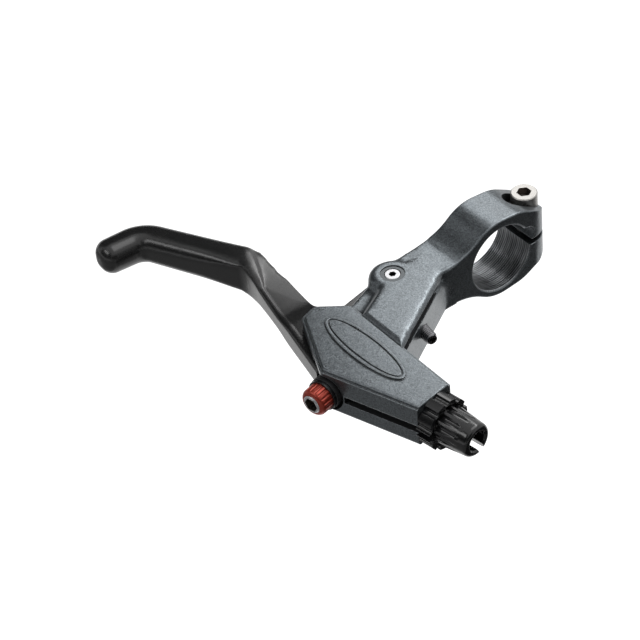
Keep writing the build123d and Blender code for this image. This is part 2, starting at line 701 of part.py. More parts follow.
def lead_screw():
    """Lead screw turned from one bar: socket head, journal, thread and tail."""
    head = rod(DIAL_AXIS, SCREW_HEAD_D, 0, DIAL_LENGTH)
    head = chamfer(rim(head, DIAL_AXIS, 0), CHAMFER)
    journal = rod(DIAL_AXIS, SCREW_JOURNAL_D, DIAL_LENGTH, BOSS_BACK + FACE_GAP)
    shoulder = POCKET_BACK - TAIL_WASHER_T - FACE_GAP
    thread = rod(DIAL_AXIS, SCREW_D, BOSS_BACK + FACE_GAP, shoulder)
    tail = rod(DIAL_AXIS, SCREW_TAIL_D, shoulder, POCKET_BACK + TAIL_LENGTH - FACE_GAP)
    socket = hex_socket(DIAL_AXIS, SCREW_HEX, -PAST, SCREW_HEX_DEPTH)
    return head + journal + thread + tail - socket


def dial_knob():
    """Fluted red dial pressed over the lead screw's head."""
    blank = rod(DIAL_AXIS, DIAL_D, DIAL_INSET, DIAL_LENGTH)
    blank = fillet(rim(blank, DIAL_AXIS, 0), DIAL_NOSE)
    blank -= rod(DIAL_AXIS, SCREW_HEAD_D + 2 * SEAT_GAP, 0, DIAL_LENGTH)
    flute = DIAL_AXIS * PolarLocations(DIAL_D / 2 + DIAL_FLUTE_R / 2, DIAL_FLUTES)
    for spot in flute:
        blank -= spot * Pos(0, 0, DIAL_LENGTH / 2) * Cylinder(DIAL_FLUTE_R, DIAL_LENGTH)
    return blank


def dial_collar():
    """Thin black collar between the dial and its bush."""
    return tube(DIAL_AXIS, COLLAR_D, SCREW_JOURNAL_D + 2 * SEAT_GAP, DIAL_LENGTH, DIAL_LENGTH + COLLAR_T)


def screw_clip():
    """Retaining ring on the journal, behind the lever's boss."""
    start = BOSS_BACK + FACE_GAP
    return tube(DIAL_AXIS, CLIP_D, SCREW_D + 2 * SEAT_GAP, start, start + CLIP_T)


def cable_carriage():
    """Carriage that the lead screw drives, with the seat for the cable's barrel end."""
    low = PLANE_Z - ARM_HALF
    high = PLANE_Z + ARM_HALF
    front = CARRIAGE_REST - CARRIAGE_HALF
    back = CARRIAGE_REST + CARRIAGE_HALF
    block = slab(
        [
            on_dial(-CARRIAGE_SIDE, front),
            on_dial(EYE_OFFSET, front),
            on_dial(EYE_OFFSET, back),
            on_dial(-CARRIAGE_SIDE, back),
        ],
        low,
        high,
    )
    seat_axis = Plane(origin=(*on_dial(EYE_OFFSET, CARRIAGE_REST), low))
    block += rod(seat_axis, 2 * EYE_R, 0, 2 * ARM_HALF)
    block -= rod(DIAL_AXIS, SCREW_D + 2 * RUN_GAP, front - PAST, back + EYE_R)
    block -= rod(seat_axis, SEAT_D, 0, SEAT_DEPTH)
    half_slot = CABLE_SLOT / 2
    block -= slab(
        [
            on_dial(EYE_OFFSET, CARRIAGE_REST - half_slot),
            on_dial(EYE_OFFSET + 2 * EYE_R, CARRIAGE_REST - half_slot),
            on_dial(EYE_OFFSET + 2 * EYE_R, CARRIAGE_REST + half_slot),
            on_dial(EYE_OFFSET, CARRIAGE_REST + half_slot),
        ],
        low,
        PLANE_Z + half_slot,
    )
    return block


def barrel_slot(width, start, end, angle):
    """Cutter for the slot that lets a cable into a turned piece from the side."""
    reach = RING_D
    slot = Rectangle(reach, width, align=(Align.MIN, Align.CENTER))
    return extrude(BARREL_AXIS.offset(start) * Rot(0, 0, angle) * slot, end - start)


def barrel_adjuster():
    """Fluted barrel on a hollow thread, slotted along its length for the cable."""
    thread = rod(BARREL_AXIS, BARREL_THREAD_D, -BARREL_THREAD_LENGTH, BARREL_START)
    middle = BARREL_START + BARREL_LENGTH / 2
    head = BARREL_AXIS * Pos(0, 0, middle) * Cone(BARREL_BASE_D / 2, BARREL_TIP_D / 2, BARREL_LENGTH)
    head = fillet(rim(head, BARREL_AXIS, BARREL_TIP), BARREL_TIP_ROUND)
    flute_ring = BARREL_BASE_D / 2 + BARREL_FLUTE_R - BARREL_FLUTE_DEPTH
    flute_mean = (BARREL_FLUTE_R + BARREL_FLUTE_TIP_R) / 2
    flute_taper = BARREL_FLUTE_R - BARREL_FLUTE_TIP_R
    flute = Cone(flute_mean + flute_taper, flute_mean - flute_taper, 2 * BARREL_LENGTH)
    for spot in BARREL_AXIS * PolarLocations(flute_ring, BARREL_FLUTES):
        head -= spot * Pos(0, 0, middle) * flute
    barrel = head + thread
    barrel -= rod(BARREL_AXIS, FERRULE_D, BARREL_TIP - FERRULE_DEPTH, BARREL_TIP + PAST)
    flare = Cone(FERRULE_D / 2, FERRULE_D / 2 + FERRULE_FLARE, FERRULE_FLARE)
    barrel -= BARREL_AXIS * Pos(0, 0, BARREL_TIP - FERRULE_FLARE / 2) * flare
    barrel -= rod(BARREL_AXIS, CABLE_HOLE_D, -BARREL_THREAD_LENGTH - PAST, BARREL_TIP)
    slot_start = -BARREL_THREAD_LENGTH - PAST
    return barrel - barrel_slot(BARREL_SLOT, slot_start, BARREL_TIP + PAST, BARREL_SLOT_ANGLE)


def adjuster_lock_ring():
    """Notched ring that jams the barrel against the housing."""
    ring = rod(BARREL_AXIS, RING_D, RING_START, RING_START + RING_LENGTH)
    for spot in BARREL_AXIS * PolarLocations(RING_D / 2, RING_LANDS):
        ring -= spot * Pos(0, 0, RING_LENGTH / 2) * Cylinder(RING_GROOVE_D / 2, 2 * RING_LENGTH)
    ring -= rod(BARREL_AXIS, RING_DISH_D, RING_START + RING_LENGTH - RING_DISH, RING_START + RING_LENGTH)
    ring -= rod(BARREL_AXIS, BARREL_THREAD_D + 2 * RUN_GAP, 0, RING_LENGTH)
    return ring - barrel_slot(CABLE_SLOT, 0, 2 * RING_LENGTH, 90)


def reach_screw():
    """Socket set screw that the lever's arm rests against."""
    screw = rod(REACH_AXIS, REACH_D, RUN_GAP, REACH_LENGTH)
    screw = chamfer(screw.edges().filter_by(GeomType.CIRCLE), CHAMFER)
    return screw - hex_socket(REACH_AXIS, REACH_HEX, REACH_LENGTH - REACH_HEX, REACH_LENGTH + PAST)


def dial_o_ring():
    """Friction ring between the dial's collar and the bush, which keeps a setting."""
    start = DIAL_LENGTH + COLLAR_T
    return tube(DIAL_AXIS, ORING_D, SCREW_JOURNAL_D + 2 * SEAT_GAP, start, start + ORING_WIRE_D)


PARTS = {
    "lever_body": lever_body,
    "clamp_bolt": clamp_bolt,
    "pivot_bolt": pivot_bolt,
    "pivot_washer": pivot_washer,
    "pivot_nut": pivot_nut,
    "upper_pivot_bush": lambda: hub_bush(1),
    "lower_pivot_bush": lambda: hub_bush(-1),
    "lever_blade": lever_blade,
    "dial_bush": dial_bush,
    "tail_bush": tail_bush,
    "tail_washer": tail_washer,
    "lead_screw": lead_screw,
    "dial_knob": dial_knob,
    "dial_collar": dial_collar,
    "screw_clip": screw_clip,
    "dial_o_ring": dial_o_ring,
    "cable_carriage": cable_carriage,
    "barrel_adjuster": barrel_adjuster,
    "adjuster_lock_ring": adjuster_lock_ring,
    "reach_screw": reach_screw,
}

os.makedirs("parts", exist_ok=True)
for name, make in PARTS.items():
    export_step(make(), f"parts/{name}.step")
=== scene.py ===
import math

import bmesh
import bpy
from mathutils import Matrix, Vector
from mathutils.bvhtree import BVHTree


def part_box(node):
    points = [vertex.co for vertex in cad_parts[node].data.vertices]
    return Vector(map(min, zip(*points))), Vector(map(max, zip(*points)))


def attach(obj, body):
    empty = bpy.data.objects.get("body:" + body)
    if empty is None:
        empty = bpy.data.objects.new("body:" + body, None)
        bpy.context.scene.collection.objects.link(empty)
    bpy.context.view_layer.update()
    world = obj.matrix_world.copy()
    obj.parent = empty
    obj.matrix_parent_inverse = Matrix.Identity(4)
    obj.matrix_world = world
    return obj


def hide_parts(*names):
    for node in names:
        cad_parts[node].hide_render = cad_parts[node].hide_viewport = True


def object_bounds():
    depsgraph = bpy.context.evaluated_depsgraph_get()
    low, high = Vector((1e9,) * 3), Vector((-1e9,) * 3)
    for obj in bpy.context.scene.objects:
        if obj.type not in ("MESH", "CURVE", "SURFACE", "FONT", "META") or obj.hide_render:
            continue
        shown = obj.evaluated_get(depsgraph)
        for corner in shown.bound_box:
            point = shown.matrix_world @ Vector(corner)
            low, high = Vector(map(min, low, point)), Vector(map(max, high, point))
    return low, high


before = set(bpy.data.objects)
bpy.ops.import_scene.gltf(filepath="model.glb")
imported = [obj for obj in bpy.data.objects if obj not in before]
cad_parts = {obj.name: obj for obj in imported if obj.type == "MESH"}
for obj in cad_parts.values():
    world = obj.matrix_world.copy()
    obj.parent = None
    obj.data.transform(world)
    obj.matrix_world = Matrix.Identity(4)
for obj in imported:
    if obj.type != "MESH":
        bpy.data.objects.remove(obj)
cad_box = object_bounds()


# Lever body
# Cast aluminium, with clamp ring, neck and forked housing in one piece, tumbled and sprayed dark
# grey metallic. The inside of the housing is painted near black as painted shade, the nooks are
# darkened by painted shade and the edges lightened by a painted highlight. The bar bore is turned
# last and stays bare.

bore_edge = 0.01135
mid_height = -0.001
cavity_half, cavity_back, cavity_across = 0.00625, -0.026, 0.014
pivot_x, pivot_y = -0.0022, -0.0338
bend_x, bend_y = 0.0075, -0.0224
plate_edge, plate_slope, wall_slope = -0.0517, 0.151, 0.6
neck_low, neck_high = (-0.013, -0.050, -0.0075), (0.026, -0.0125, 0.0076)


def finish_start(name):
    """New material, a way to add a node to it and a way to set its surface.

    Sockets go by name, with _ for a space. A node's output is joined on, anything else is set.
    """
    material = bpy.data.materials.new(name)
    material.use_nodes = True
    tree = material.node_tree

    def pick(sockets, key):
        return next(s for s in sockets if key in (s.identifier, s.name.replace(" ", "_")))

    def fill(node, values):
        for key, value in values.items():
            if hasattr(node, key):
                setattr(node, key, value)
            elif isinstance(value, bpy.types.NodeSocket):
                tree.links.new(value, pick(node.inputs, key))
            else:
                pick(node.inputs, key).default_value = value

    def add(kind, output, **values):
        node = tree.nodes.new("ShaderNode" + kind)
        fill(node, values)
        return pick(node.outputs, output)

    def surface(**values):
        fill(tree.nodes["Principled BSDF"], values)

    return material, add, surface


def tones(add, value, dark, light, start=0.0, end=1.0):
    """Colour from a dark to a light tone, as a value goes from start to end."""
    colour = add("ValToRGB", "Color", Fac=value)
    first, last = colour.node.color_ramp.elements
    first.position, first.color = start, (*dark, 1)
    last.position, last.color = end, (*light, 1)
    return colour


def edge_highlight(add, eased, start, end, most=1.0):
    """Mask for a painted highlight: 0 on flat faces and up to most on corners, where the eased
    normal leans off the face's.
    """
    facing = add("NewGeometry", "Normal")
    agree = add("VectorMath", "Value", operation="DOT_PRODUCT", Vector=eased, Vector_001=facing)
    return add("MapRange", "Result", Value=agree, From_Min=start, From_Max=end, To_Max=most)


def blend_to_lighter(add, colour, lighter_tone, lighten_by):
    """Colour that gives way to a lighter one by a share: random grain, or a painted highlight
    along edges.
    """
    return add(
        "Mix", "Result_Color", data_type="RGBA",
        Factor_Float=lighten_by, A_Color=colour, B_Color=(*lighter_tone, 1),
    )


def nook_shade(add, reach, deep_shade, clear, least):
    """Painted shade: 1 on open faces, down to the least value in nooks, which are looked for
    within a reach.
    """
    openness = add("AmbientOcclusion", "AO", samples=6, only_local=True, Distance=reach)
    return add("MapRange", "Result", Value=openness, From_Min=deep_shade, From_Max=clear, To_Min=least)


def shaded(add, colour, shade):
    return add(
        "Mix", "Result_Color", data_type="RGBA", blend_type="MULTIPLY",
        Factor_Float=1.0, A_Color=colour, B_Color=shade,
    )


def grey_metallic_paint():
    material, add, surface = finish_start("grey_metallic_paint")
    place = add("TexCoord", "Object")
    flakes = add("TexVoronoi", "Color", Vector=place, Scale=3700.0)
    cloud = add("TexNoise", "Fac", Vector=place, Scale=240.0, Detail=3.0)
    sparkle = add("SeparateColor", "Red", Color=flakes)
    paint = tones(add, sparkle, (0.077, 0.0855, 0.092), (0.149, 0.166, 0.177), 0.05, 0.98)
    eased = add("Bevel", "Normal", samples=6, Radius=0.0004)
    # Painted highlight: the paint is lighter along edges.
    lighten_by = edge_highlight(add, eased, start=0.99, end=0.9, most=0.55)
    paint_edge_highlighted = blend_to_lighter(add, paint, (0.27, 0.29, 0.302), lighten_by)
    # Painted shade: the paint is darker in nooks.
    paint_nook_shade = nook_shade(add, reach=0.0032, deep_shade=0.35, clear=0.93, least=0.04)
    half = (0.5, 0.5, 0.5)
    lean = add("VectorMath", "Vector", operation="SUBTRACT", Vector=flakes, Vector_001=half)
    small = add("VectorMath", "Vector", operation="SCALE", Vector=lean, Scale=0.07)
    tilted = add("VectorMath", "Vector", operation="ADD", Vector=eased, Vector_001=small)
    surface(
        Base_Color=shaded(add, paint_edge_highlighted, paint_nook_shade),
        Roughness=add("MapRange", "Result", Value=cloud, To_Min=0.24, To_Max=0.34),
        Metallic=0.8,
        Normal=add("VectorMath", "Vector", operation="NORMALIZE", Vector=tilted),
    )
    return material


def dark_inside():
    # Painted shade: near black stands in for the shade inside the housing.
    material, add, surface = finish_start("dark_inside")
    place = add("TexCoord", "Object")
    cast = add("TexNoise", "Fac", Vector=place, Scale=900.0, Detail=4.0)
    surface(
        Base_Color=tones(add, cast, (0.006, 0.006, 0.007), (0.018, 0.019, 0.02)),
        Roughness=0.7,
        Specular_IOR_Level=0.2,
        Normal=add("Bump", "Normal", Height=cast, Strength=0.2, Distance=0.0002),
    )
    return material


def turned_bore():
    material, add, surface = finish_start("turned_bore")
    place = add("TexCoord", "Object")
    turning = add(
        "TexWave", "Fac", wave_type="BANDS", bands_direction="X",
        Vector=place, Scale=420.0, Distortion=1.6, Detail=2.0,
    )
    along = add("Mapping", "Vector", Vector=place, Scale=(900.0, 110.0, 110.0))
    streak = add("TexNoise", "Fac", Vector=along, Scale=1.0, Detail=4.0)
    marks = add(
        "Mix", "Result_Float", data_type="FLOAT",
        Factor_Float=0.3, A_Float=streak, B_Float=turning,
    )
    lighter_tone = tones(add, marks, (0.03, 0.033, 0.036), (0.27, 0.28, 0.29), 0.3, 0.72)
    # Painted shade: the bore is darker where the body's own faces stand within the reach.
    bore_nook_shade = nook_shade(add, reach=0.012, deep_shade=0.35, clear=0.9, least=0.1)
    surface(
        Base_Color=shaded(add, lighter_tone, bore_nook_shade),
        Roughness=0.3,
        Metallic=0.85,
        Normal=add("Bump", "Normal", Height=turning, Strength=0.4, Distance=0.0002),
    )
    return material


def shade_smooth(work, sharp_degrees):
    """Smooth shading, broken along the edges that are sharper than an angle."""
    limit = math.radians(sharp_degrees)
    for edge in work.edges:
        edge.smooth = edge.is_manifold and edge.calc_face_angle(0) < limit
    for face in work.faces:
        face.smooth = True


def plain_mesh(piece):
    """Mesh of a piece with its modifiers worked in, which come off the piece."""
    finished = piece.evaluated_get(bpy.context.evaluated_depsgraph_get())
    mesh = bpy.data.meshes.new_from_object(finished)
    piece.modifiers.clear()
    mesh.name = piece.name
    return mesh


def smooth_copy(node, sharp_degrees=28, shape=None, finish_of=None):
    """Piece with a CAD node's shape, merged and shaded smooth between its hard edges."""
    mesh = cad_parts[node].data.copy()
    mesh.materials.clear()
    work = bmesh.new()
    work.from_mesh(mesh)
    merged_gap = 2e-6
    bmesh.ops.remove_doubles(work, verts=work.verts, dist=merged_gap)
    bmesh.ops.recalc_face_normals(work, faces=work.faces)
    if shape:
        shape(work)
        work.normal_update()
    if finish_of:
        solid = BVHTree.FromBMesh(work)
        for face in work.faces:
            face.material_index = finish_of(face, solid)
    shade_smooth(work, sharp_degrees)
    work.to_mesh(mesh)
    work.free()
    piece = bpy.data.objects.new(node + "_finished", mesh)
    bpy.context.scene.collection.objects.link(piece)
    even = piece.modifiers.new("even_shading", "WEIGHTED_NORMAL")
    even.keep_sharp = True
    piece.data = plain_mesh(piece)
    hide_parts(node)
    return piece


def soften(work, low, high, weight, step=0.0008, rounds=26):
    """Cut the faces in a box finely, then ease the corners there round, as tumbling does.

    The weight, from 0 to 1, says how far a place follows. Each round draws the corners in, then
    lets the shape back out, so that it doesn't shrink.
    """
    draw_in, let_out = 0.5, -0.2
    merged_weight, merged_gap, sliver, flap_rounds = 0.3, 0.3 * step, 5e-6, 4
    near = {}
    for face in work.faces:
        for axis in range(3):
            places = [vert.co[axis] for vert in face.verts]
            if max(places) < low[axis] or min(places) > high[axis]:
                break
        else:
            near.update(dict.fromkeys((face, *face.edges, *face.verts)))
    near = list(near)
    for axis in range(3):
        across = Vector((0, 0, 0))
        across[axis] = 1
        for count in range(int((high[axis] - low[axis]) / step) + 1):
            place = across * (low[axis] + count * step)
            cut = bmesh.ops.bisect_plane(
                work, geom=near, dist=1e-6, plane_co=place, plane_no=across
            )
            near = cut["geom"]
    faces = [item for item in near if isinstance(item, bmesh.types.BMFace)]
    bmesh.ops.triangulate(work, faces=faces)
    full = [vert for vert in work.verts if weight(vert.co) > merged_weight]
    bmesh.ops.remove_doubles(work, verts=full, dist=merged_gap)
    bmesh.ops.dissolve_degenerate(work, edges=work.edges, dist=sliver)
    for _ in range(flap_rounds):
        flaps = [
            face for face in work.faces
            if any(edge.is_boundary for edge in face.edges)
            and any(len(edge.link_faces) > 2 for edge in face.edges)
        ]
        bmesh.ops.delete(work, geom=flaps, context="FACES")
    moving = [(vert, weight(vert.co)) for vert in work.verts]
    moving = [(vert, share) for vert, share in moving if share > 0]
    for stride in (draw_in, let_out) * rounds:
        aims = []
        for vert, share in moving:
            middle = Vector((0, 0, 0))
            for link in vert.link_edges:
                middle += link.other_vert(vert).co
            aims.append(vert.co.lerp(middle / len(vert.link_edges), stride * share))
        for (vert, _), aim in zip(moving, aims):
            vert.co = aim


def ramp(value, start, end):
    """0 before the start, 1 past the end, even between them."""
    return min(max((value - start) / (end - start), 0), 1)


def body_finish(face, solid):
    """0 for paint, 1 for the inside of the housing, which is painted shade, 2 for the bar bore."""
    centre = face.calc_center_median()
    if math.hypot(centre.y, centre.z) < bore_edge:
        return 2
    inside = abs(centre.z - mid_height) < cavity_half and centre.y < cavity_back
    if inside and solid.ray_cast(centre + face.normal * 1e-4, face.normal, cavity_across)[0]:
        return 1
    return 0


def neck_weight(place):
    """1 on the neck's upper side and at its bend, 0 at the plate, the pivot and the bar bore."""
    plate_gap = place.y - plate_edge - plate_slope * place.x
    pivot_gap = math.hypot(place.x - pivot_x, place.y - pivot_y)
    bend_gap = math.hypot(place.x - bend_x, place.y - bend_y)
    wall_gap = place.x - bend_x + wall_slope * (place.y - bend_y)
    share = ramp(plate_gap, 0.0008, 0.0025) * ramp(-place.y, 0.0125, 0.024)
    share *= ramp(pivot_gap, 0.0046, 0.006)
    bend = ramp(-bend_gap, -0.006, -0.002) * ramp(place.z, -0.007, -0.003)
    if wall_gap < -0.0018:
        top = ramp(place.z, 0.0033, 0.0043)
    else:
        top = ramp(place.z, 0.0058, 0.0066)
    return share * max(top, bend)


def soften_neck(work):
    soften(work, neck_low, neck_high, neck_weight)


lever_body = smooth_copy("lever_body", 38, shape=soften_neck, finish_of=body_finish)
for finish in (grey_metallic_paint(), dark_inside(), turned_bore()):
    lever_body.data.materials.append(finish)
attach(lever_body, "bracket")


# Clamp bolt, pivot bolt and pivot nut
# Turned steel with broached sockets. The socket faces take a darker, browner steel and all nooks
# are darkened, both as painted shade. The pivot bolt is zinc plated and bright, clamp bolt and nut
# are nickel plated and duller.

def bright_steel(name, colour, rough_low, rough_high, painted_shade_low=0.15, painted_shade_high=0.75):
    material, add, surface = finish_start(name)
    place = add("TexCoord", "Object")
    grain = add("TexNoise", "Fac", Vector=place, Scale=2600.0, Detail=4.0)
    # Painted shade: the steel is darker in sockets and other nooks.
    steel_nook_shade = nook_shade(add, reach=0.003, deep_shade=painted_shade_low, clear=painted_shade_high, least=0.04)
    eased = add("Bevel", "Normal", samples=6, Radius=0.00015)
    surface(
        Base_Color=shaded(add, (*colour, 1), steel_nook_shade),
        Roughness=add("MapRange", "Result", Value=grain, To_Min=rough_low, To_Max=rough_high),
        Metallic=1.0,
        Normal=add("Bump", "Normal", Height=grain, Normal=eased, Strength=0.06, Distance=0.0001),
    )
    return material


def socket_of(axis, reach, bottom, rim):
    """Rule that gives the faces of a hexagon socket the second finish."""
    back = axis.inverted()
    margin = 2e-5

    def rule(face, solid):
        local = back @ face.calc_center_median()
        inside = math.hypot(local.x, local.y) < reach
        return int(inside and bottom - margin < local.z < rim - margin)

    return rule


zinc = bright_steel("bright_zinc", (0.46, 0.46, 0.47), 0.36, 0.5)
nickel = bright_steel("dull_nickel", (0.34, 0.33, 0.315), 0.38, 0.52)
# The socket faces take this darker, browner steel as painted shade inside the sockets.
socket_steel = bright_steel("socket_steel", (0.3, 0.265, 0.24), 0.3, 0.45)
clamp_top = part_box("clamp_bolt")[1].z
pivot_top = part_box("pivot_bolt")[1].z
clamp_middle = Matrix.Translation((0, 0.0155, 0))
pivot_middle = Matrix.Translation((pivot_x, pivot_y, 0))
clamp_socket = socket_of(clamp_middle, reach=0.00235, bottom=0.008, rim=clamp_top)
pivot_socket = socket_of(pivot_middle, reach=0.0012, bottom=0.002, rim=pivot_top)
for node, rule, finishes in (
    ("clamp_bolt", clamp_socket, (nickel, socket_steel)),
    ("pivot_bolt", pivot_socket, (zinc, socket_steel)),
    ("pivot_nut", None, (nickel,)),
):
    piece = smooth_copy(node, finish_of=rule)
    for finish in finishes:
        piece.data.materials.append(finish)
    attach(piece, "bracket")


# Washers and retaining ring
# Stamped steel in duller zinc. One washer lies round the pivot bolt's head, one at the lead
# screw's far bearing, and the ring keeps the screw in the lever's boss.

dull_zinc = bright_steel("dull_zinc", (0.09, 0.096, 0.1), 0.34, 0.5)
for node, body in (("pivot_washer", "bracket"), ("tail_washer", "lever"), ("screw_clip", "dial")):
    piece = smooth_copy(node)
    piece.data.materials.append(dull_zinc)
    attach(piece, body)


# Lever blade
# Forged aluminium, linished along the finger and sprayed satin black. The web between finger and
# housing is dished on both sides, thinnest next to the housing and rising into the finger.

arm_half, thin_half, bend_half, crown_half = 0.0034, 0.0024, 0.0046, 0.0058
web_out, finger_x, thinnest_x, web_in = -0.054, -0.038, -0.016, -0.007
cut_from, cut_step, cuts = -0.006, 0.002, 23
rail_y, back_y, back_thinning = -0.062, -0.053, 0.22
turn_x, turn_y = -0.0395, -0.0600
finger_low, finger_high = (-0.052, -0.063, -0.007), (-0.027, -0.051, 0.005)


def satin_black():
    material, add, surface = finish_start("satin_black")
    place = add("TexCoord", "Object")
    peel = add("TexNoise", "Fac", Vector=place, Scale=1500.0, Detail=3.0)
    cloud = add("TexNoise", "Fac", Vector=place, Scale=160.0, Detail=2.0)
    eased = add("Bevel", "Normal", samples=6, Radius=0.0006)
    surface(
        Base_Color=tones(add, peel, (0.006, 0.0061, 0.0062), (0.013, 0.0132, 0.0134)),
        Roughness=add("MapRange", "Result", Value=cloud, To_Min=0.22, To_Max=0.3),
        Specular_IOR_Level=0.5,
        Normal=add("Bump", "Normal", Height=peel, Normal=eased, Strength=0.05, Distance=0.0001),
    )
    return material


def swell(start, end, share):
    """From one size to another, level at both ends."""
    return start + (end - start) * share * share * (3 - 2 * share)


def web_height(x):
    """Half the web's thickness at a place along the bar, from the housing out to the finger."""
    if x > thinnest_x:
        return swell(thin_half, arm_half, ramp(x, thinnest_x, web_in))
    if x > finger_x:
        share = (x - thinnest_x) / (finger_x - thinnest_x)
        return thin_half + (bend_half - thin_half) * share ** 2
    return swell(bend_half, arm_half, ramp(-x, -finger_x, -web_out))


def dish_web(work):
    """Thin the flat web to a dish, more towards its back edge, and leave the crown as it is."""
    for count in range(1, cuts + 1):
        geometry = work.verts[:] + work.edges[:] + work.faces[:]
        place = (cut_from - cut_step * count, 0, 0)
        bmesh.ops.bisect_plane(
            work, geom=geometry, dist=1e-6, plane_co=place, plane_no=(1, 0, 0)
        )
    for vert in work.verts:
        x, y, z = vert.co
        if not web_out < x < web_in:
            continue
        height = abs(z - mid_height)
        back = ramp(y, rail_y, back_y)
        near_web = ramp(x, -0.046, -0.038) * ramp(-x, 0.009, 0.014)
        web = web_height(x) * (1 - back_thinning * back * near_web)
        if height <= arm_half:
            moved = height * web / arm_half
        else:
            moved = web + (height - arm_half) * (crown_half - web) / (crown_half - arm_half)
        vert.co.z = mid_height + math.copysign(moved, z - mid_height)


def bend_weight(place):
    """1 where the finger runs into the web, 0 on the front rail and further along."""
    turn_gap = abs(place.x - turn_x)
    return ramp(-turn_gap, -0.0125, -0.003) * ramp(place.y, turn_y - 0.0025, turn_y)


def blade_shape(work):
    dish_web(work)
    soften(work, finger_low, finger_high, bend_weight)


lever_blade = smooth_copy("lever_blade", 42, shape=blade_shape)
lever_blade.data.materials.append(satin_black())
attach(lever_blade, "lever")


# Bushes
# Moulded black plastic, dull. Two line the lever's hub, where the pivot bolt runs through, and two
# carry the lead screw in the lever's boss and arm.

def moulded(name, colour, rough_low, rough_high, grain_strength):
    material, add, surface = finish_start(name)
    dark, light, lighter_tone = [[part * share for part in colour] for share in (0.7, 1.3, 4)]
    place = add("TexCoord", "Object")
    grain = add("TexNoise", "Fac", Vector=place, Scale=3000.0, Detail=2.0)
    tone = blend_to_lighter(add, (*dark, 1), light, grain)
    eased = add("Bevel", "Normal", samples=6, Radius=0.0002)
    # Painted highlight: the plastic is lighter along its edges.
    lighten_by = edge_highlight(add, eased, start=0.985, end=0.85)
    surface(
        Base_Color=blend_to_lighter(add, tone, lighter_tone, lighten_by),
        Roughness=add("MapRange", "Result", Value=grain, To_Min=rough_low, To_Max=rough_high),
        Normal=add(
            "Bump", "Normal", Height=grain, Normal=eased, Strength=grain_strength, Distance=0.0001
        ),
    )
    return material


bush_plastic = moulded("bush_plastic", (0.014, 0.014, 0.015), 0.5, 0.65, 0.08)
for node in ("upper_pivot_bush", "lower_pivot_bush", "dial_bush", "tail_bush"):
    piece = smooth_copy(node)
    piece.data.materials.append(bush_plastic)
    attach(piece, "lever")


# Lead screw
# Turned steel, zinc plated, with a socket in its head, a plain journal and a rolled thread that
# the carriage runs on.

def axis_frame(place, degrees):
    """Frame of a screw that lies level: its Z along the screw, its X up."""
    turn = math.radians(degrees)
    along = Vector((math.cos(turn), math.sin(turn), 0))
    up = Vector((0, 0, 1))
    side = along.cross(up)
    columns = Matrix((up, side, along)).transposed().to_4x4()
    return Matrix.Translation(place) @ columns


def core_shape(axis, start, end, core, outer):
    """Turn a plain rod down to the thread's core between two places along it."""
    back = axis.inverted()
    margin = 1e-5

    def turn_down(work):
        for vert in work.verts:
            local = back @ vert.co
            radius = math.hypot(local.x, local.y)
            if core < radius < outer and start - margin < local.z < end + margin:
                local.x *= core / radius
                local.y *= core / radius
                vert.co = axis @ local

    return turn_down


def thread_maker():
    """Tree that winds a ridge with a four-sided section round a screw's core."""
    tree = bpy.data.node_groups.new("screw_thread", "GeometryNodeTree")
    nodes = tree.nodes
    join = tree.links.new
    sockets = {}
    tree.interface.new_socket("Geometry", in_out="OUTPUT", socket_type="NodeSocketGeometry")
    tree.interface.new_socket("Geometry", in_out="INPUT", socket_type="NodeSocketGeometry")
    for name, kind in (
        ("Core Radius", "NodeSocketFloat"),
        ("Pitch", "NodeSocketFloat"),
        ("Length", "NodeSocketFloat"),
        ("Depth", "NodeSocketFloat"),
        ("Finish", "NodeSocketMaterial"),
    ):
        socket = tree.interface.new_socket(name, in_out="INPUT", socket_type=kind)
        sockets[name] = socket.identifier
    sizes = nodes.new("NodeGroupInput")
    turns = nodes.new("ShaderNodeMath")
    turns.operation = "DIVIDE"
    join(sizes.outputs["Length"], turns.inputs[0])
    join(sizes.outputs["Pitch"], turns.inputs[1])
    helix = nodes.new("GeometryNodeCurveSpiral")
    helix.inputs["Resolution"].default_value = 32
    join(turns.outputs[0], helix.inputs["Rotations"])
    join(sizes.outputs["Core Radius"], helix.inputs["Start Radius"])
    join(sizes.outputs["Core Radius"], helix.inputs["End Radius"])
    join(sizes.outputs["Length"], helix.inputs["Height"])
    upright = nodes.new("GeometryNodeSetCurveNormal")
    upright.mode = "Z_UP"
    join(helix.outputs["Curve"], upright.inputs["Curve"])
    section = nodes.new("GeometryNodeCurvePrimitiveCircle")
    section.inputs["Resolution"].default_value = 4
    join(sizes.outputs["Depth"], section.inputs["Radius"])
    ridge = nodes.new("GeometryNodeCurveToMesh")
    ridge.inputs["Fill Caps"].default_value = True
    join(upright.outputs["Curve"], ridge.inputs["Curve"])
    join(section.outputs["Curve"], ridge.inputs["Profile Curve"])
    whole = nodes.new("GeometryNodeRealizeInstances")
    join(ridge.outputs["Mesh"], whole.inputs["Geometry"])
    coated = nodes.new("GeometryNodeSetMaterial")
    join(whole.outputs["Geometry"], coated.inputs["Geometry"])
    join(sizes.outputs["Finish"], coated.inputs["Material"])
    end = nodes.new("NodeGroupOutput")
    join(coated.outputs["Geometry"], end.inputs["Geometry"])
    return tree, sockets


thread_tree, thread_sockets = thread_maker()


def cut_slot(work, half_width, degrees):
    """Take a ridge away along one side of its screw and close the cut ends."""
    turn = math.radians(degrees)
    across = Vector((-math.sin(turn), math.cos(turn), 0))
    ahead = Vector((math.cos(turn), math.sin(turn), 0))
    gone = []
    for face in work.faces:
        centre = face.calc_center_median()
        if centre.dot(ahead) > 0 and abs(centre.dot(across)) < half_width:
            gone.append(face)
    bmesh.ops.delete(work, geom=gone, context="FACES")
    rims = [edge for edge in work.edges if edge.is_boundary]
    bmesh.ops.holes_fill(work, edges=rims, sides=0)
    capped = set()
    for face in work.faces[:]:
        corners = frozenset(face.verts)
        if corners in capped:
            work.faces.remove(face)
        capped.add(corners)


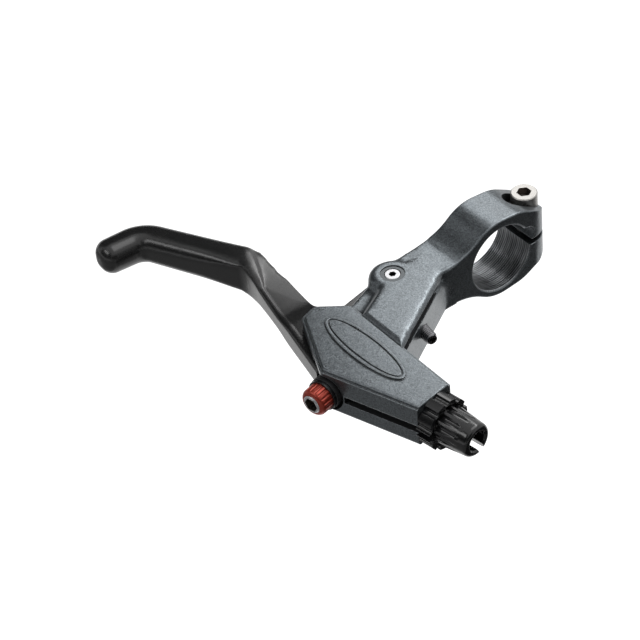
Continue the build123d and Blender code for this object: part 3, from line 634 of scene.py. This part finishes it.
def thread_on(name, axis, start, end, core, depth, pitch, finish, slot_half=0, slot_degrees=0):
    """Ridge wound on a screw, left open where the screw is slotted along its length."""
    ridge = bpy.data.objects.new(name, bpy.data.meshes.new(name))
    bpy.context.scene.collection.objects.link(ridge)
    maker = ridge.modifiers.new("thread", "NODES")
    maker.node_group = thread_tree
    maker[thread_sockets["Core Radius"]] = core
    maker[thread_sockets["Pitch"]] = pitch
    maker[thread_sockets["Length"]] = end - start
    maker[thread_sockets["Depth"]] = depth
    maker[thread_sockets["Finish"]] = finish
    mesh = plain_mesh(ridge)
    work = bmesh.new()
    work.from_mesh(mesh)
    if slot_half:
        cut_slot(work, slot_half, slot_degrees)
    bmesh.ops.recalc_face_normals(work, faces=work.faces)
    shade_smooth(work, sharp_degrees=40)
    work.to_mesh(mesh)
    work.free()
    mesh.transform(axis @ Matrix.Translation((0, 0, start)))
    ridge.data = mesh
    return ridge


dial_axis = axis_frame((0.0197, -0.0815, mid_height), 102.5)
screw_start, screw_end, screw_core, screw_rod = 0.0121, 0.0256, 0.00162, 0.0021
screw_runout = 0.0004
screw_turned = core_shape(dial_axis, screw_start, screw_end, screw_core, screw_rod)
head_axis = dial_axis @ Matrix.Rotation(math.pi, 4, "X")
screw_socket = socket_of(head_axis, reach=0.00235, bottom=-0.0031, rim=0)
lead_screw = smooth_copy("lead_screw", shape=screw_turned, finish_of=screw_socket)
lead_screw.data.materials.append(zinc)
lead_screw.data.materials.append(socket_steel)
lead_thread = thread_on(
    "lead_screw_thread", dial_axis, screw_start + screw_runout, screw_end - screw_runout,
    screw_core, depth=0.00034, pitch=0.0007, finish=zinc,
)
for piece in (lead_screw, lead_thread):
    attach(piece, "dial")


# Dial knob
# Aluminium, fluted round its rim for the fingers, anodised red and pressed over the lead screw's
# head.

def red_anodised():
    material, add, surface = finish_start("red_anodised")
    place = add("TexCoord", "Object")
    grain = add("TexNoise", "Fac", Vector=place, Scale=3000.0, Detail=3.0)
    dye = tones(add, grain, (0.2, 0.022, 0.012), (0.34, 0.042, 0.022))
    # Painted shade: the red is darker in the flutes and other nooks.
    deep_shade = nook_shade(add, reach=0.0008, deep_shade=0.3, clear=0.9, least=0.35)
    surface(
        Base_Color=shaded(add, dye, deep_shade),
        Roughness=add("MapRange", "Result", Value=grain, To_Min=0.28, To_Max=0.42),
        Metallic=0.55,
        Normal=add("Bevel", "Normal", samples=6, Radius=0.00012),
    )
    return material


dial_knob = smooth_copy("dial_knob")
dial_knob.data.materials.append(red_anodised())
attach(dial_knob, "dial")


# Dial o-ring
# Black rubber, a little dusty, slipped over the lead screw. Its drag holds the dial where it is
# set.

o_ring = smooth_copy("dial_o_ring")
o_ring.data.materials.append(moulded("o_ring_rubber", (0.018, 0.018, 0.018), 0.6, 0.8, 0.1))
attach(o_ring, "dial")


# Cable carriage
# Bare machined aluminium, tapped for the lead screw, with a seat for the cable's end.

carriage = smooth_copy("cable_carriage")
carriage.data.materials.append(bright_steel("bare_aluminium", (0.55, 0.555, 0.56), 0.3, 0.45))
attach(carriage, "carriage")


# Lock ring, barrel and dial collar
# Moulded black, half gloss. The barrel's hollow thread screws into the housing's end, and ring and
# barrel are slotted so that the cable can be laid in from the side.

adjuster_black = moulded("adjuster_black", (0.007, 0.0072, 0.0078), 0.16, 0.26, 0.03)
barrel_axis = axis_frame((0.0469, -0.0585, mid_height), 8.6)
barrel_start, barrel_end, barrel_core, barrel_rod = -0.006, 0.0052, 0.00355, 0.0041
barrel_turned = core_shape(barrel_axis, barrel_start, barrel_end, barrel_core, barrel_rod)
barrel = smooth_copy("barrel_adjuster", shape=barrel_turned)
barrel_thread = thread_on(
    "barrel_thread", barrel_axis, barrel_start + 0.0005, barrel_end - 0.0006,
    barrel_core, depth=0.0004, pitch=0.001, finish=adjuster_black,
    slot_half=0.0011, slot_degrees=200,
)
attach(barrel_thread, "barrel")
lock_ring = smooth_copy("adjuster_lock_ring")
dial_collar = smooth_copy("dial_collar")
for piece, body in ((lock_ring, "lock_ring"), (barrel, "barrel"), (dial_collar, "dial")):
    piece.data.materials.append(adjuster_black)
    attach(piece, body)


# Reach screw
# Steel socket set screw in black oxide, threaded over its whole length. The thread is lighter, a
# painted highlight for glints on its crests, and painted shade darkens its valleys.
# It is turned into the neck's wall, where it sets how far out the lever rests.

black_oxide = bright_steel("black_oxide", (0.035, 0.035, 0.037), 0.22, 0.34)
# Painted highlight: the thread is lighter than the screw, and painted shade darkens its valleys.
rubbed_oxide = bright_steel(
    "rubbed_oxide", (0.2, 0.2, 0.21), 0.2, 0.32, painted_shade_low=0.5, painted_shade_high=0.85
)
reach_axis = axis_frame((0.0084, -0.0364, mid_height), -8)
reach_start, reach_end, reach_core, reach_rod = 0.00005, 0.013, 0.00152, 0.0021
reach_runout = 0.0005
reach_turned = core_shape(reach_axis, reach_start, reach_end, reach_core, reach_rod)
reach_socket = socket_of(reach_axis, reach=0.0012, bottom=0.0109, rim=reach_end)
reach_screw = smooth_copy("reach_screw", shape=reach_turned, finish_of=reach_socket)
reach_screw.data.materials.append(black_oxide)
reach_screw.data.materials.append(socket_steel)
reach_thread = thread_on(
    "reach_screw_thread", reach_axis, reach_start + reach_runout, reach_end - reach_runout,
    reach_core, depth=0.00045, pitch=0.0007, finish=rubbed_oxide,
)
for piece in (reach_screw, reach_thread):
    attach(piece, "reach")


# Studio
# Pale floor well below the lever and white all round. Soft boxes hang overhead and close by on the
# left, strips stand behind and in front, and cards that only gloss shows shape the reflections.

def white_to_the_eye(tree):
    """1 for rays that see a surface directly, in gloss or through glass, else 0."""
    path = tree.nodes.new("ShaderNodeLightPath")
    seen = path.outputs["Is Camera Ray"]
    for ray in ("Is Glossy Ray", "Is Transmission Ray"):
        either = tree.nodes.new("ShaderNodeMath")
        either.operation = "MAXIMUM"
        tree.links.new(seen, either.inputs[0])
        tree.links.new(path.outputs[ray], either.inputs[1])
        seen = either.outputs["Value"]
    return seen


def card(name, low, high, tone):
    """Flat sheet between two opposite corners, level or upright."""
    first, second = [axis for axis in range(3) if low[axis] != high[axis]]
    corners = [list(low) for _ in range(4)]
    corners[1][first] = corners[2][first] = high[first]
    corners[2][second] = corners[3][second] = high[second]
    mesh = bpy.data.meshes.new(name)
    mesh.from_pydata(corners, [], [(0, 1, 2, 3)])
    sheet = bpy.data.objects.new(name, mesh)
    bpy.context.scene.collection.objects.link(sheet)
    material, _, surface = finish_start(name)
    surface(Base_Color=(tone, tone, tone, 1), Roughness=0.9, Specular_IOR_Level=0.1)
    mesh.materials.append(material)
    return sheet


floor_drop, table_drop, floor_half = 0.25, 0.12, 1.8
floor_z = cad_box[0].z - floor_drop
table_z = cad_box[0].z - table_drop
floor = card(
    "floor", (-floor_half, -floor_half, floor_z), (floor_half, floor_half, floor_z), 0.82
)
tree = floor.data.materials[0].node_tree
glow = tree.nodes.new("ShaderNodeEmission")
tree.links.new(white_to_the_eye(tree), glow.inputs["Strength"])
glow.inputs["Color"].default_value = (0.7, 0.7, 0.7, 1)
both = tree.nodes.new("ShaderNodeAddShader")
tree.links.new(tree.nodes["Principled BSDF"].outputs[0], both.inputs[0])
tree.links.new(glow.outputs[0], both.inputs[1])
tree.links.new(both.outputs[0], tree.nodes["Material Output"].inputs["Surface"])

for name, low, high, tone in (
    ("right_card", (0.07, -0.12, table_z), (0.9, 0.9, table_z), 0.03),
    ("front_card", (-0.9, -0.9, table_z), (0.9, -0.12, table_z), 0.45),
    ("left_card", (-0.55, -0.35, 0.03), (-0.55, 0.65, 0.95), 0.02),
    ("front_wall", (-0.9, -0.8, 0.06), (0.9, -0.8, 1.3), 0.06),
    ("right_wall", (0.85, -0.7, -0.05), (0.85, 0.2, 0.55), 0.06),
):
    sheet = card(name, low, high, tone)
    sheet.visible_camera = False
    sheet.visible_diffuse = False
    sheet.visible_shadow = False
    sheet.visible_transmission = False

world = bpy.data.worlds.new("surround")
bpy.context.scene.world = world
world.use_nodes = True
tree = world.node_tree
soft = tree.nodes["Background"]
soft.inputs["Color"].default_value = (1, 1, 1, 1)
soft.inputs["Strength"].default_value = 0.25
white = tree.nodes.new("ShaderNodeBackground")
white.inputs["Color"].default_value = (1, 1, 1, 1)
white.inputs["Strength"].default_value = 1.0
mix = tree.nodes.new("ShaderNodeMixShader")
tree.links.new(white_to_the_eye(tree), mix.inputs["Fac"])
tree.links.new(soft.outputs[0], mix.inputs[1])
tree.links.new(white.outputs[0], mix.inputs[2])
tree.links.new(mix.outputs[0], tree.nodes["World Output"].inputs["Surface"])


def soft_box(name, place, aim, across, size, power):
    """Soft box that faces its aim, with its first side laid along a direction."""
    light = bpy.data.lights.new(name, "AREA")
    light.shape = "RECTANGLE"
    light.size, light.size_y = size
    light.energy = power
    lamp = bpy.data.objects.new(name, light)
    away = (Vector(place) - Vector(aim)).normalized()
    side = Vector(across)
    side = (side - away * side.dot(away)).normalized()
    turned = Matrix((side, away.cross(side), away)).transposed().to_4x4()
    lamp.matrix_world = Matrix.Translation(place) @ turned
    bpy.context.scene.collection.objects.link(lamp)


middle, clamp, finger = (0.0, -0.045, 0.0), (0.030, -0.010, 0.001), (-0.06, -0.07, 0.0)
bar_way, tilted_way = (1, 0, 0), (-0.70, 0.06, -0.71)
soft_box("overhead", (0.12, 0.30, 0.75), middle, bar_way, (0.6, 0.6), 2.8)
soft_box("near_left", (-0.092, 0.071, 0.127), clamp, tilted_way, (0.11, 0.10), 0.115)
soft_box("back_strip", (-0.07, 0.49, 0.52), middle, bar_way, (0.42, 0.13), 1.3)
soft_box("front_strip", (-0.1, -0.55, 0.48), finger, bar_way, (0.5, 0.14), 1.1)

camera = bpy.data.cameras.new("camera")
camera.lens = 146.25
camera.sensor_width = 36.0
viewer = bpy.data.objects.new("camera", camera)
viewer.matrix_world = Matrix(
    (
        (0.606789, -0.481296, 0.632583, 0.475146),
        (0.791344, 0.440588, -0.423859, -0.380747),
        (-0.074708, 0.757784, 0.648215, 0.494091),
        (0, 0, 0, 1),
    )
)
bpy.context.scene.collection.objects.link(viewer)
bpy.context.scene.camera = viewer
bpy.context.scene.view_settings.view_transform = "Standard"
